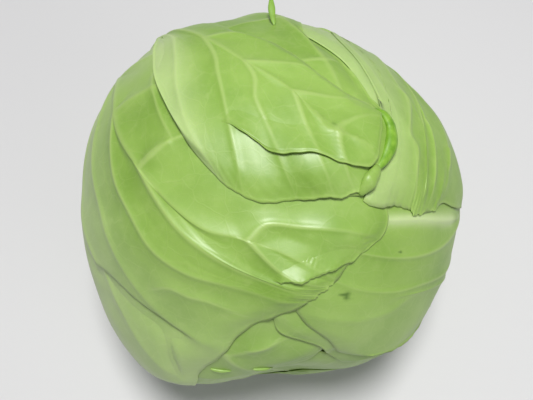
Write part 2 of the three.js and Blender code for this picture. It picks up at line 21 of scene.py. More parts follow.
import bpy
import numpy as np
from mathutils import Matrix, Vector


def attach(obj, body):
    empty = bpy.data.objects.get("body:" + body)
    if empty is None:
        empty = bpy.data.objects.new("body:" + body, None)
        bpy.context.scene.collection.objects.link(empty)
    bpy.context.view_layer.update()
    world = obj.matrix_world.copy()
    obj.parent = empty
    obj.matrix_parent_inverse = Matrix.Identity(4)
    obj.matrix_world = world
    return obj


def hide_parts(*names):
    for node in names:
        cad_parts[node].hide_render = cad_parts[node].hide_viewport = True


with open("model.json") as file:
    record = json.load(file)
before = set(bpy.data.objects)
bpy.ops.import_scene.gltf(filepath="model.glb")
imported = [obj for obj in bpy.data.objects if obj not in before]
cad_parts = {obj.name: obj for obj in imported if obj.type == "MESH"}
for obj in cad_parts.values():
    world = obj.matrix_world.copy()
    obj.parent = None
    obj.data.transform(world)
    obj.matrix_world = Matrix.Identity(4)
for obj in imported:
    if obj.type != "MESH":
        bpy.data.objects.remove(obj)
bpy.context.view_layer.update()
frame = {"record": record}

MM = 0.001

# head
HEAD_RADIUS = 94.5
HEAD_HEIGHT = 91.5
AXIS_AZIMUTH = -48.9
AXIS_ELEVATION = 26.1
FLATTENING = 0.03
PLANE_RADIUS = 98.0
FLAT_TOP = 1.7
FLAT_SPREAD = 2.0
FLAT_BLEND = 2.5
MIDDLE = (-2.478, 1.882)  # the head's middle, seen from the origin under the part's middle

# leaves
BLADE = 0.8  # thickness, half of it at the margin
BLADE_FULL = 6  # from the margin to the full thickness
GAP = 0.9  # room over what lies below
EDGE_GAP = 0.15  # the same at the margin
GAP_FULL = 12  # from the margin to the full room
BRIDGE_FULL = 15  # from the margin to where a blade bridges the steps below it
REACH = 5.0  # how far the heights below are widened under a blade
EDGE_REACH = 2.0  # the same near its margin
CELL = 1.0  # of the height maps
NOTHING = -1e9  # a cell without a height
BOW = 0.4  # of a rib without via points, as a share of its chord
UV_SIZE = 100  # millimetres of a leaf's plane for each unit of its UV

# ribs and veins: a wide bell and a narrow crest on it, each with its half width and its height
RIB_BELL = (5.5, 1.0)
RIB_CREST = (1.5, 0.6)
RIB_FADE = 0.6  # how much of it is gone at the margin
MIDRIB_BELL = 1.3  # the midrib's two heights, as shares of its own
MIDRIB_CREST = 0.5
MIDRIB_EXTRA = 0.5  # its height over that of the side ribs
VEIN_BELL = (3.0, 0.45)
VEIN_CREST = (1.0, 0.35)
BULGE = 0.4  # of the tissue between two ribs

# torn flaps and rolled margins
FLAP_BLADE = 0.55
FLAP_GRID = (190, 44)
FLAP_ROOT_SUNK = 0.15
FLAP_CURL = 0.5
ROLL_GRID = (90, 40)
ROLL_SEAT = 0.5  # its middle over the blade, as a share of its width
ROLL_FLATNESS = 0.75

# inner head and stump
INNER_GRID = (152, 260)
INNER_LEAVES = 5
INNER_TWIST = 0.9
INNER_STEP = 1.1
INNER_SUNK = 0.6
STEM_GRID = (92, 128)


def ray(azimuth, elevation):
    a, e = math.radians(azimuth), math.radians(elevation)
    return np.array([math.cos(e) * math.cos(a), math.cos(e) * math.sin(a), math.sin(e)])


def unit(v):
    return v / np.linalg.norm(v, axis=-1, keepdims=True)


AXIS = ray(AXIS_AZIMUTH, AXIS_ELEVATION)
AXIS_UP = unit(np.array([0.0, 0.0, 1.0]) - AXIS * AXIS[2])
AXIS_SIDE = np.cross(AXIS, AXIS_UP)

# swellings and hollows: azimuth, elevation, height, width in degrees
LOBES = [
    (-118, -5, 8.5, 15),
    (-51, -2, 7, 19),
    (-85, -7, -10, 11),
    (143, 32, 3, 30),
    (-173, 15, -1.5, 14),
    (-7, 15, 2.5, 16),
    (68, 39, -2.5, 24),
]


def head_radius(d):
    r = HEAD_RADIUS * (1 - FLATTENING * (d @ AXIS) ** 2)
    for azimuth, elevation, height, width in LOBES:
        r = r + height * np.exp((d @ ray(azimuth, elevation) - 1) / math.radians(width) ** 2)
    return r


def smooth_min(a, b, k):
    h = np.maximum(k - np.abs(a - b), 0) / k
    return np.minimum(a, b) - h * h * k / 4


def point_at(d, w):
    """Points in metres, in the part's frame, at heights w over the head in directions d."""
    r = head_radius(d) + w
    down = np.maximum(-d[..., 2], 1e-6)
    flat = smooth_min(r, (HEAD_HEIGHT + (w - FLAT_TOP) * FLAT_SPREAD) / down, FLAT_BLEND)
    flat = np.minimum(flat, HEAD_HEIGHT / down)
    r = np.where(d[..., 2] < 0, flat, r)
    return (d * r[..., None] + np.array([MIDDLE[0], MIDDLE[1], HEAD_HEIGHT])) * MM


class Plane:
    """A leaf's plane, at an angle around the axis and an angle from the stem."""

    def __init__(self, around, away):
        a, f = math.radians(around), math.radians(away)
        out = AXIS_UP * math.cos(a) + AXIS_SIDE * math.sin(a)
        self.middle = out * math.sin(f) - AXIS * math.cos(f)
        self.along = AXIS * math.sin(f) + out * math.cos(f)
        self.across = np.cross(self.along, self.middle)

    def to_head(self, x, y):
        angle = np.hypot(x, y) / PLANE_RADIUS
        turn = np.arctan2(x, y)[..., None]
        side = np.cos(turn) * self.along + np.sin(turn) * self.across
        return np.cos(angle)[..., None] * self.middle + np.sin(angle)[..., None] * side

    def from_head(self, d):
        angle = np.arccos(np.clip(d @ self.middle, -1, 1)) * PLANE_RADIUS
        turn = np.arctan2(d @ self.across, d @ self.along)
        return angle * np.sin(turn), angle * np.cos(turn)


class Curve:
    """A smooth curve through points, read by its share of the length: a Catmull-Rom curve with centripetal
    spacing, sampled finely."""

    def __init__(self, points):
        p = np.array(points, float)
        p = np.vstack([2 * p[0] - p[1], p, 2 * p[-1] - p[-2]])
        t = np.linspace(0, 1, 60)[:, None]
        out = []
        for a, b, c, d in zip(p[:-3], p[1:-2], p[2:-1], p[3:]):
            s0, s1, s2 = (max(math.sqrt(math.dist(u, v)), 1e-4) for u, v in ((a, b), (b, c), (c, d)))
            u1 = ((b - a) / s0 - (c - a) / (s0 + s1) + (c - b) / s1) * s1
            u2 = ((c - b) / s1 - (d - b) / (s1 + s2) + (d - c) / s2) * s1
            out.append(b + u1 * t + (3 * (c - b) - 2 * u1 - u2) * t**2 + (2 * (b - c) + u1 + u2) * t**3)
        line = np.vstack(out)
        self.points = line[np.r_[True, np.any(np.diff(line, axis=0) != 0, axis=1)]]
        steps = np.linalg.norm(np.diff(self.points, axis=0), axis=1)
        self.length = steps.sum()
        self.share = np.r_[0, np.cumsum(steps)] / self.length

    def at(self, share):
        return np.stack([np.interp(share, self.share, self.points[:, k]) for k in (0, 1)], -1)


# The leaves from the inmost to the outmost, on their planes. mid, left and right run from the stem to the
# tip. A rib has its start on the midrib, its ends on the left and the right margin as shares of their
# lengths and, where it doesn't just bow outwards, the points that it passes on the left and on the right.
# The front margin begins at the tip's shares. wave is the height of the margin's ruffle, half sets how
# many waves it has, rib is the height of a side rib's bell, and grid is rows by columns.
# veins are more lines on the blade. A crease is a depth, a width and its line. A flap has its root, its
# free edge and its rise over the blade. A roll has a line, a width, how fresh its green is and, where it
# stands up, its rise. A fleck is a place and a radius, and a band is a half width and its line.
LEAVES = [
    dict(
        name="lower_front_leaf", at=(135, 100), wave=1.0, half=7, grid=(130, 100), rib=0.6,
        mid=[(0, -154), (-8, -80), (-14, 0), (-12, 60), (-6, 100)],
        left=[(-11, -153), (-50, -100), (-74, -20), (-76, 40), (-56, 84), (-6, 100)],
        right=[(11, -153), (22, -105), (25, -60), (34, -15), (52, 40), (46, 82), (-6, 100)],
        ribs=[(0.2, 0.2, 0.2), (0.4, 0.4, 0.4), (0.6, 0.58, 0.58), (0.78, 0.72, 0.72)],
        tip=(0.82, 0.82),
    ),
    dict(
        name="front_inner_leaf", at=(100, 105), wave=0.8, half=8, grid=(190, 130), rib=0.8,
        mid=[(0, -162), (-14, -90), (-24, -10), (-20, 40), (-19, 66), (-22, 100)],
        left=[(-11, -161), (-50, -100), (-76, -20), (-80, 50), (-60, 90), (-22, 100)],
        right=[
            (11, -161), (20, -90), (12, -20), (2, 8), (1, 22), (8, 27), (4, 33), (9, 42), (11, 50), (5, 60),
            (6, 74), (0, 92), (-22, 100),
        ],
        ribs=[(0.18, 0.16, 0.18), (0.34, 0.3, 0.34), (0.5, 0.45, 0.52), (0.65, 0.6, 0.66), (0.8, 0.72, 0.8)],
        tip=(0.84, 0.9),
        veins=[[(-20, 57), (-19, 66), (-21, 73)]],
        rolls=[
            dict(name="torn_bit_left", width=1.0, fresh=0.12, line=[(-11, 36), (-8, 40), (-6, 44)]),
            dict(name="torn_bit_right", width=1.1, fresh=0.12, line=[(-4, 54), (0, 58), (5, 60)]),
        ],
    ),
    dict(
        name="under_leaf", at=(178, 84), wave=1.2, half=9, grid=(160, 130), rib=0.0,
        mid=[(0, -127), (4, -60), (0, 20), (6, 92)],
        left=[(-11, -126), (-50, -90), (-72, -20), (-70, 40), (-44, 84), (6, 92)],
        right=[(11, -126), (52, -90), (76, -20), (74, 44), (46, 88), (6, 92)],
        ribs=[(0.14, 0.16, 0.16), (0.28, 0.3, 0.3), (0.42, 0.42, 0.42), (0.6, 0.56, 0.56), (0.78, 0.7, 0.7)],
        tip=(0.8, 0.8),
    ),
    dict(
        name="inner_apex_leaf", at=(-130, 120), wave=0.8, half=8, grid=(180, 120), rib=0.8,
        mid=[(0, -188), (8, -120), (6, -40), (14, 20), (22, 69), (28, 100), (28, 140)],
        left=[
            (-11, -187), (-30, -110), (-40, -20), (-42, 40), (-46, 76), (-54, 99), (-50, 113), (-38, 130),
            (-34, 152), (-8, 162), (28, 140),
        ],
        right=[(11, -187), (46, -120), (62, -40), (72, 30), (76, 90), (62, 128), (28, 140)],
        ribs=[
            (0.12, 0.1, 0.12), (0.24, 0.22, 0.25), (0.36, 0.34, 0.38), (0.48, 0.46, 0.5), (0.6, 0.58, 0.62),
            (0.72, 0.7, 0.74),
        ],
        tip=(0.86, 0.84),
    ),
    dict(
        name="apex_leaf", at=(-130, 120), wave=0.5, half=9, grid=(210, 150), rib=1.0,
        mid=[(0, -188), (10, -120), (12, -40), (24, 20), (34, 64), (42, 91), (46, 112), (52, 140)],
        left=[
            (-11, -187), (-26, -110), (-34, -20), (-31, 30), (-30, 70), (-37, 93), (-42, 112), (-31, 128),
            (-19, 146), (10, 162), (52, 140),
        ],
        right=[(11, -187), (50, -120), (78, -40), (92, 30), (98, 90), (88, 128), (52, 140)],
        ribs=[
            (0.12, 0.1, 0.12), (0.24, 0.22, 0.24), (0.34, 0.36, 0.36),
            (0.43, 0.825, 0.46, [(-2, 30), (-1, 64), (0, 92), (-9, 106), (-13, 120), (-13, 136)], None),
            (0.52, 0.925, 0.56, [(8, 34), (4, 62), (5, 87), (4, 109), (7, 128), (14, 142)], None),
            (0.7, 0.96, 0.68),
        ],
        tip=(0.98, 0.8),
        flecks=[(3, 132, 2.4), (27, 106, 0.8)],
        bands=[(3.4, [(31, 54), (34, 64), (42, 91), (46, 112), (50, 128)])],
    ),
    dict(
        name="left_leaf", at=(34, 105), wave=0.5, half=10, grid=(240, 180), rib=1.3,
        mid=[
            (0, -163), (-22, -120), (-24, -70), (-7, -33), (0, -9), (6, 16), (7, 32), (3, 46), (0, 68),
            (1, 91),
        ],
        left=[
            (-11, -162), (-46, -120), (-58, -50), (-56, 20), (-50, 62), (-42, 94), (-30, 101), (-10, 93),
            (1, 91),
        ],
        right=[
            (11, -162), (50, -140), (90, -80), (112, -20), (116, 20), (104, 42), (81, 49), (64, 57), (47, 64),
            (32, 73), (16, 84), (1, 91),
        ],
        ribs=[
            (0.07, 0.1, 0.18), (0.14, 0.2, 0.34), (0.2, 0.3, 0.5),
            (0.26, 0.4, 0.7, None, [(17, -72), (36, -58), (50, -32), (64, -6), (78, 16)]),
            (0.34, 0.5, 0.82, None, [(-5, -62), (14, -46), (32, -18), (44, 2), (54, 22), (58, 44)]),
            (0.48, 0.6, 0.95, None, [(2, -30), (12, -18), (20, -1), (27, 16), (28, 32), (24, 52), (21, 68)]),
            (0.62, 0.66, 0.967, [(-7, -5), (-18, 0), (-34, 16)], [(12, 20), (16, 50)]),
            (0.845, 0.907, 0.985, [(-7, 53), (-14, 67), (-22, 84)], [(8, 68)]),
        ],
        tip=(0.95, 0.993),
        veins=[
            [(46, 17), (39, 27), (38, 36), (36, 44), (36, 54), (36, 62)],
            [(-38, -39), (-27, -20), (-22, -10), (-18, 0)],
            [(-18, 0), (-14, -3), (-9, -6), (-3, -9)],
        ],
        creases=[
            (1.8, 14, [(56, -46), (58, -29), (56, -13), (55, 0), (57, 15), (58, 26), (59, 36), (59, 47)]),
            (1.4, 10, [(60, 30), (67, 32), (76, 35), (87, 38), (99, 37)]),
        ],
        flaps=[
            dict(
                root=[(11, 64), (7, 66), (0, 71), (-8, 77), (-15, 85), (-20, 96)],
                edge=[(13, 66), (10, 71), (7, 76), (4, 79), (-1, 84), (-5, 88), (-10, 93)],
                rise=2.0,
            ),
        ],
    ),
    dict(
        name="right_leaf", at=(-72, 110), wave=0.6, half=9, grid=(200, 150), rib=0.8,
        mid=[(0, -171), (-2, -90), (10, -20), (20, 20), (19, 40), (16, 58), (13, 81)],
        left=[
            (-11, -170), (-50, -120), (-72, -50), (-66, 10), (-44, 44), (-26, 60), (-12, 67), (-1, 71),
            (6, 77), (13, 81),
        ],
        right=[
            (11, -170), (50, -130), (76, -60), (72, -18), (60, 12), (55, 36), (47, 48), (47, 61), (51, 73),
            (56, 87), (44, 88), (30, 84), (20, 85), (13, 81),
        ],
        ribs=[
            (0.14, 0.14, 0.16), (0.27, 0.28, 0.3),
            (0.32, 0.4, 0.9, None, [(30, -50), (50, -14), (47, 14), (42, 36), (43, 62)]),
            (0.44, 0.54, 0.953, None, [(20, -24), (30, 4), (30, 26), (35, 48), (31, 62)]),
            (0.68, 0.96, 0.976, [(8, 22), (2, 42), (2, 56)], [(24, 40), (22, 66)]),
        ],
        tip=(0.985, 0.99),
        veins=[
            [(33, 16), (29, 27), (33, 40), (36, 51), (31, 56), (30, 65), (26, 79)],
            [(20, 35), (17, 50), (16, 60), (13, 73)],
            [(2, 42), (2, 56)],
        ],
    ),
    dict(
        name="side_leaf", at=(-35, 105), wave=0.5, half=7, grid=(180, 100), rib=0.7,
        mid=[(0, -163), (2, -90), (12, -20), (18, 30), (28, 77)],
        left=[
            (-10, -162), (-34, -110), (-16, -50), (10, -12), (5, 10), (4, 30), (2, 46), (7, 61), (16, 69),
            (28, 77),
        ],
        right=[(10, -162), (40, -110), (52, -50), (54, 10), (50, 50), (42, 72), (28, 77)],
        ribs=[(0.18, 0.18, 0.18), (0.36, 0.36, 0.36), (0.54, 0.54, 0.54), (0.72, 0.72, 0.72)],
        tip=(0.86, 0.86),
        rolls=[
            dict(
                name="rolled_margin", width=2.9, fresh=1.0,
                line=[(8, 42), (5.5, 47), (5.5, 53), (8.5, 59.5), (14, 65), (19, 68)],
            ),
            dict(name="rolled_tip", width=3.2, fresh=0.0, line=[(18, 67), (24, 71), (30, 76)]),
            dict(name="wisp", width=1.5, fresh=0.35, line=[(19, -26), (17, -31), (14, -36)], rise=9),
        ],
    ),
    dict(
        name="top_leaf", at=(-6, 100), wave=0.4, half=9, grid=(220, 130), rib=1.0,
        mid=[(0, -155), (1, -110), (5, -23), (3, 7), (-2, 30), (-3, 46), (-9, 62), (-14, 76)],
        left=[
            (-10, -154), (-18, -110), (-14, -50), (-10, -20), (-18, 4), (-20, 20), (-23, 34), (-31, 53),
            (-28, 66), (-14, 76),
        ],
        right=[
            (10, -154), (16, -110), (12, -56), (16, -28), (30, -14), (41, 4), (46, 28), (43, 51), (34, 62),
            (21, 70), (7, 78), (-4, 79), (-14, 76),
        ],
        ribs=[
            (0.12, 0.12, 0.14),
            (0.28, 0.28, 0.71, None, [(8, -64), (11, -42), (20, -23), (33, -2), (40, 14)]),
            (0.57, 0.62, 0.765, None, [(10, -6), (15, 3), (22, 16), (32, 34)]),
            (0.69, 0.78, 0.85, [(-6, 14), (-16, 22)], [(6, 16), (12, 24), (16, 36), (22, 54)]),
            (0.8, 0.86, 0.905, [(-14, 40)], [(4, 46), (9, 62)]),
            (0.9, 0.9, 0.94),
        ],
        tip=(0.93, 0.965),
        veins=[[(-4, 43), (-2, 50), (-6, 57), (-11, 63), (-13, 67)]],
        flecks=[(-6, 51, 0.9), (-26, 2, 0.7), (-24, 5, 0.6)],
        flaps=[
            dict(
                root=[(28, 20), (21, 21), (15, 31), (8, 40), (-3, 43), (-16, 44), (-26, 46)],
                edge=[
                    (29, 23), (27, 27), (25, 35), (22, 46), (16, 52), (8, 58), (2, 66), (-5, 72), (-9, 73),
                    (-14, 71), (-19, 67), (-25, 62), (-30, 56),
                ],
                rise=2.4,
            ),
        ],
    ),
]


def smooth(x, low, high):
    t = np.clip((x - low) / (high - low), 0, 1)
    return t * t * (3 - 2 * t)


def bump(x, width):
    return np.exp(-((x / width) ** 2))


def leaf_plan(leaf, s, a):
    """Plane points of the grid rows s, counted in rib stations, and columns a from margin to margin.

    A row is the straight chord from the midrib to the margin plus the bow of the two ribs it lies between,
    each in its share. The last row is the front margin.
    """
    stations = [(0, 0, 0), *leaf["ribs"], (1, *leaf["tip"])]
    last = len(stations) - 1
    shares = np.array([station[:3] for station in stations], float)
    start_at, end_left, end_right = (np.interp(s, np.arange(last + 1), shares[:, k]) for k in range(3))
    k = np.minimum(s.astype(int), last - 1)
    part = (s - k)[:, None, None]
    mid = Curve(leaf["mid"])
    start = mid.at(start_at)[:, None, :]
    halves = []
    for side, key, ends in ((-1, "left", end_left), (1, "right", end_right)):
        margin = Curve(leaf[key])
        column = 1 + max(side, 0)
        share = np.abs(a[a < 0] if side < 0 else a[a >= 0])
        across = share[:, None]
        bows = []
        for station in stations[:-1]:
            root, end = mid.at(station[0]), margin.at(station[column])
            chord = end - root
            via = station[2 + column] if len(station) > 3 else None
            if via:
                bows.append(Curve([root, *via, end]).at(share) - root - chord * across)
            else:
                bows.append(np.array([chord[1], -chord[0]]) * side * BOW * across * (1 - across))
        root, end = mid.at(1), margin.at(shares[-1, column])
        bows.append(margin.at(1 - (1 - shares[-1, column]) * share) - root - (end - root) * across)
        bows = np.array(bows)
        chord = margin.at(ends)[:, None, :] - start
        halves.append(start + chord * across + bows[k] * (1 - part) + bows[k + 1] * part)
    p = np.concatenate(halves, axis=1)
    # the ruffle of the margin, a long wave and a short one
    share = np.abs(a)[None, :]
    row, column = s[:, None] * 3, a[None, :] * leaf["half"]
    ruffle = leaf["wave"] * share**6 * np.sin(row * 2.1 + column * 1.3 + leaf["at"][0])
    ruffle += 0.35 * leaf["wave"] * share**12 * np.sin(row * 7.3 - column * 5.1)
    away = p - start
    p = p + away * (ruffle / np.maximum(np.linalg.norm(away, axis=-1), 20))[..., None]
    return p, start_at


class HeightMap:
    """Heights over a leaf's plane on square cells."""

    def __init__(self, x, y):
        self.left, self.low = x.min() - 6 * CELL, y.min() - 6 * CELL
        self.nx = int((x.max() - self.left) / CELL) + 8
        self.ny = int((y.max() - self.low) / CELL) + 8
        self.v = np.full((self.ny, self.nx), NOTHING)

    def centres(self):
        return np.meshgrid(self.left + CELL * np.arange(self.nx), self.low + CELL * np.arange(self.ny))

    def read(self, x, y):
        """A straight blend of the four cells about each point."""
        u = np.clip((x - self.left) / CELL, 0, self.nx - 1.001)
        v = np.clip((y - self.low) / CELL, 0, self.ny - 1.001)
        i, j = u.astype(int), v.astype(int)
        fu, fv = u - i, v - j
        low = self.v[j, i] * (1 - fu) + self.v[j, i + 1] * fu
        high = self.v[j + 1, i] * (1 - fu) + self.v[j + 1, i + 1] * fu
        return low * (1 - fv) + high * fv

    def highest(self, x, y):
        u, v = (x - self.left) / CELL, (y - self.low) / CELL
        inside = (u > 0) & (v > 0) & (u < self.nx - 1) & (v < self.ny - 1)
        i, j = np.where(inside, u, 0).astype(int), np.where(inside, v, 0).astype(int)
        low = np.maximum(self.v[j, i], self.v[j, i + 1])
        high = np.maximum(self.v[j + 1, i], self.v[j + 1, i + 1])
        return np.where(inside, np.maximum(low, high), NOTHING)

    def average(self, x, y, h):
        """The mean of the values about each cell. A cell that has none takes its neighbours'."""
        u, v = (x - self.left) / CELL, (y - self.low) / CELL
        i, j = u.astype(int), v.astype(int)
        total, weight = np.zeros_like(self.v), np.zeros_like(self.v)
        for di in (0, 1):
            for dj in (0, 1):
                near = np.abs(1 - di - (u - i)) * np.abs(1 - dj - (v - j))
                np.add.at(total, (j + dj, i + di), near * h)
                np.add.at(weight, (j + dj, i + di), near)
        for _ in range(4):
            empty = weight < 1e-3
            total = np.where(empty, neighbours(total), total)
            weight = np.where(empty, neighbours(weight), weight)
        self.v = total / np.maximum(weight, 1e-9)

    def fill(self, x, y, h):
        """Raises the four cells about every grid point, and those between neighbouring points."""
        for gx, gy, gh in (
            (x, y, h),
            *(tuple((g[1:] + g[:-1]) / 2 for g in (x, y, h)),),
            *(tuple((g[:, 1:] + g[:, :-1]) / 2 for g in (x, y, h)),),
        ):
            i = ((gx - self.left) / CELL).astype(int).ravel()
            j = ((gy - self.low) / CELL).astype(int).ravel()
            for di in (0, 1):
                for dj in (0, 1):
                    np.maximum.at(self.v, (j + dj, i + di), gh.ravel())

    def widen(self, reach):
        n = max(int(round(reach / CELL)), 1)
        for axis in (0, 1):
            best = self.v.copy()
            for k in range(1, n + 1):
                for sign in (-1, 1):
                    best = np.maximum(best, shifted(self.v, sign * k, axis))
            self.v = best

    def soften(self, reach):
        n = max(int(round(reach / CELL)), 1)
        for axis in (0, 1):
            self.v = sum(shifted(self.v, k, axis) for k in range(-n, n + 1)) / (2 * n + 1)


def shifted(v, k, axis):
    """The grid moved by k cells, its edge rows repeated."""
    index = np.clip(np.arange(v.shape[axis]) + k, 0, v.shape[axis] - 1)
    return np.take(v, index, axis=axis)


def neighbours(v):
    """The sum of the four cells beside each cell."""
    return sum(shifted(v, k, axis) for k in (-1, 1) for axis in (0, 1))


def height_below(d, stack):
    """The top of all leaves laid so far, in directions d. It is 0 where there is none."""
    height = np.zeros(d.shape[:-1])
    for lower in stack:
        height = np.maximum(height, lower["map"].highest(*lower["plane"].from_head(d)))
    return height


def make_object(name, verts, faces, uv, attributes):
    """A smooth-shaded object from arrays, with its UV and its values at every point."""
    mesh = bpy.data.meshes.new(name)
    faces = np.asarray(faces, np.int32)
    mesh.vertices.add(len(verts))
    mesh.vertices.foreach_set("co", np.asarray(verts, np.float32).ravel())
    mesh.loops.add(faces.size)
    mesh.loops.foreach_set("vertex_index", faces.ravel())
    mesh.polygons.add(len(faces))
    mesh.polygons.foreach_set("loop_start", np.arange(len(faces), dtype=np.int32) * faces.shape[1])
    mesh.polygons.foreach_set("use_smooth", np.ones(len(faces), bool))
    layer = mesh.uv_layers.new(name="plane")
    layer.data.foreach_set("uv", np.asarray(uv, np.float32)[faces.ravel()].ravel())
    for key, values in attributes.items():
        attribute = mesh.attributes.new(key, "FLOAT", "POINT")
        attribute.data.foreach_set("value", np.asarray(values, np.float32).ravel())
    mesh.update()
    mesh.validate()
    obj = bpy.data.objects.new(name, mesh)
    bpy.context.scene.collection.objects.link(obj)
    return obj


def closed_sheet(outer, inner):
    """Faces of a closed blade from its outer and inner grid, joined round the rim."""
    rows, cols = outer.shape[:2]
    index = np.arange(rows * cols).reshape(rows, cols)
    top = np.stack([index[:-1, :-1], index[:-1, 1:], index[1:, 1:], index[1:, :-1]], -1).reshape(-1, 4)
    under = top[:, ::-1] + rows * cols
    ring = np.concatenate([index[0, :-1], index[:-1, -1], index[-1, :0:-1], index[:0:-1, 0]])
    ahead = np.roll(ring, -1)
    rim = np.stack([ring, ring + rows * cols, ahead + rows * cols, ahead], -1)
    verts = np.concatenate([outer.reshape(-1, 3), inner.reshape(-1, 3)])
    return verts, np.concatenate([top, under, rim])


def build_leaf(leaf, stack):
    """The pieces of a leaf, laid over the stack, and its own height map added to the stack."""
    plane = Plane(*leaf["at"])
    rows, cols = leaf["grid"]
    last = len(leaf["ribs"]) + 1
    # rows about evenly apart on the leaf
    rough = np.linspace(0, last, 12 * last + 1)
    p, _ = leaf_plan(leaf, rough, np.linspace(-1, 1, 41))
    steps = np.linalg.norm(np.diff(p, axis=0), axis=-1)
    travel = np.r_[0, np.cumsum(0.5 * steps.mean(1) + 0.5 * steps.max(1))]
    s = np.interp(np.linspace(0, travel[-1], rows), travel, rough)
    a = np.linspace(-1, 1, cols | 1)
    p, along = leaf_plan(leaf, s, a)
    x, y = p[..., 0], p[..., 1]
    share, along = np.abs(a)[None, :], along[:, None]

    d_s = np.gradient(p, s, axis=0)
    d_a = np.gradient(p, a, axis=1)
    width = np.linalg.norm(d_a, axis=-1)
    pitch = np.abs(d_s[..., 0] * d_a[..., 1] - d_s[..., 1] * d_a[..., 0]) / np.maximum(width, 1e-3)
    from_mid = share * width
    to_side = (1 - share) * width
    back = np.linalg.norm(np.diff(p, axis=0), axis=-1)[::-1]
    to_front = np.concatenate([np.zeros((1, x.shape[1])), np.cumsum(back, axis=0)])[::-1]
    to_edge = np.minimum(to_side, to_front)

    vein, relief = leaf_relief(leaf, s, share, along, x, y, pitch, from_mid, to_edge)
    d = plane.to_head(x, y)
    direct = height_below(d, stack)
    wide, close = (covered(plane, x, y, stack, reach) for reach in (REACH, EDGE_REACH))
    inward = smooth(to_edge, 0, BRIDGE_FULL)
    lift = np.maximum(close + (wide - close) * inward, direct)
    low = lift + EDGE_GAP + (GAP - EDGE_GAP) * smooth(to_edge, 0, GAP_FULL)
    high = low + BLADE * (0.5 + 0.5 * smooth(to_edge, 0, BLADE_FULL)) + relief

    own = HeightMap(x, y)
    own.fill(x, y, high)
    stack.append({"plane": plane, "map": own})
    still = np.ones_like(x)
    values = {
        "vein": vein,
        "edge": to_edge,
        "stemward": np.maximum(smooth(-along, -0.55, 0.0) * still, bands(leaf, x, y)),
        "fresh": 0 * still,
        "fleck": flecks(leaf, x, y),
    }
    blade = sheet_object(leaf["name"] + "_blade", plane, (x, y), (high, low), values)
    extras = [build_flap(leaf, plane, (x, y), high, values, flap) for flap in leaf.get("flaps", [])]
    extras += [build_roll(leaf, plane, (x, y), high, roll) for roll in leaf.get("rolls", [])]
    return [blade, *extras]


def bands(leaf, x, y):
    """Whitish bands, 0 to 1, each with a half width about a line."""
    shown = np.zeros_like(x)
    for half, points in leaf.get("bands", []):
        off, at, _ = off_line(points, x, y)
        shown = np.maximum(shown, 0.9 * bump(off, half) * smooth(at, 0, 0.1) * smooth(1 - at, 0, 0.3))
    return shown


def flecks(leaf, x, y):
    """Dark bruises, 0 to 1, each about a place with a radius, and a little ragged."""
    shown = np.zeros_like(x)
    for fx, fy, radius in leaf.get("flecks", []):
        turn = np.arctan2(y - fy, x - fx)
        off = np.hypot(x - fx, y - fy) * (1 + 0.25 * np.sin(3 * turn) + 0.15 * np.sin(7 * turn + 1))
        shown = np.maximum(shown, 1 - smooth(off, 0.6 * radius, 1.2 * radius))
    return shown


def off_line(points, x, y):
    """How far each point lies from a smooth curve, how far along it, and how far to its right side."""
    line = Curve(points)
    steps = np.linspace(0, 1, 100)
    places = line.at(steps)
    ahead = unit(np.gradient(places, axis=0))
    near, at, side = np.full(x.shape, 1e9), np.zeros(x.shape), np.zeros(x.shape)
    for place, way, step in zip(places, ahead, steps):
        dx, dy = x - place[0], y - place[1]
        off = np.hypot(dx, dy)
        closer = off < near
        near = np.where(closer, off, near)
        at = np.where(closer, step, at)
        side = np.where(closer, dx * way[1] - dy * way[0], side)
    return near, at, side


def crested(off, bell, crest):
    """A wide bell with a narrow one on it, each a half width and a height."""
    return bell[1] * bump(off, bell[0]) + crest[1] * bump(off, crest[0])


def leaf_relief(leaf, s, share, along, x, y, pitch, from_mid, to_edge):
    """Where the veins show, 0 to 1, and the height of ribs, veins, creases and bulges over the blade.

    A rib is a wide bell with a narrow one on it, both lower towards the margin. A crease steps down on its
    right side and comes back up over its width.
    """
    last = len(leaf["ribs"]) + 1
    vein, relief = np.zeros_like(x), np.zeros_like(x)
    for k in range(1, last):
        off = np.abs(s[:, None] - k) * pitch
        fade = 1 - RIB_FADE * share
        vein = np.maximum(vein, bump(off, 1.3 - 0.4 * share) * fade)
        relief = np.maximum(relief, leaf["rib"] * fade * crested(off, RIB_BELL, RIB_CREST))
    slim = 1 - along
    height = (MIDRIB_EXTRA + leaf["rib"]) * slim**0.7
    midrib = crested(from_mid, (4.0 + 6.0 * slim, MIDRIB_BELL), (1.5 + 2 * slim, MIDRIB_CREST))
    vein = np.maximum(vein, bump(from_mid, 1.4 + 3.2 * slim) * (0.45 + 0.55 * slim))
    relief = np.maximum(relief, height * midrib)
    relief += BULGE * np.sin(np.pi * (s[:, None] % 1)) ** 2 * smooth(from_mid, 0, 25)
    for points in leaf.get("veins", []):
        off, at, _ = off_line(points, x, y)
        ends = smooth(at, 0, 0.15) * smooth(1 - at, 0, 0.3)
        vein = np.maximum(vein, 0.7 * bump(off, 1.0))
        relief = relief + ends * crested(off, VEIN_BELL, VEIN_CREST)
    relief *= smooth(to_edge, 0, 12)
    for depth, width, points in leaf.get("creases", []):
        off, at, side = off_line(points, x, y)
        ends = smooth(at, 0, 0.3) * smooth(1 - at, 0, 0.15)
        level = smooth(side, -0.8, 1.0) * (1 - smooth(side, 1.0, width))
        relief -= depth * level * ends * (off < 1.5 * width)
    return vein, relief


def covered(plane, x, y, stack, reach):
    """The height of all that lies below, widened by a reach and smoothed."""
    below = HeightMap(x, y)
    below.v = height_below(plane.to_head(*below.centres()), stack)
    below.widen(reach)
    below.soften(reach * 0.7)
    below.soften(reach * 0.7)
    return below.read(x, y)


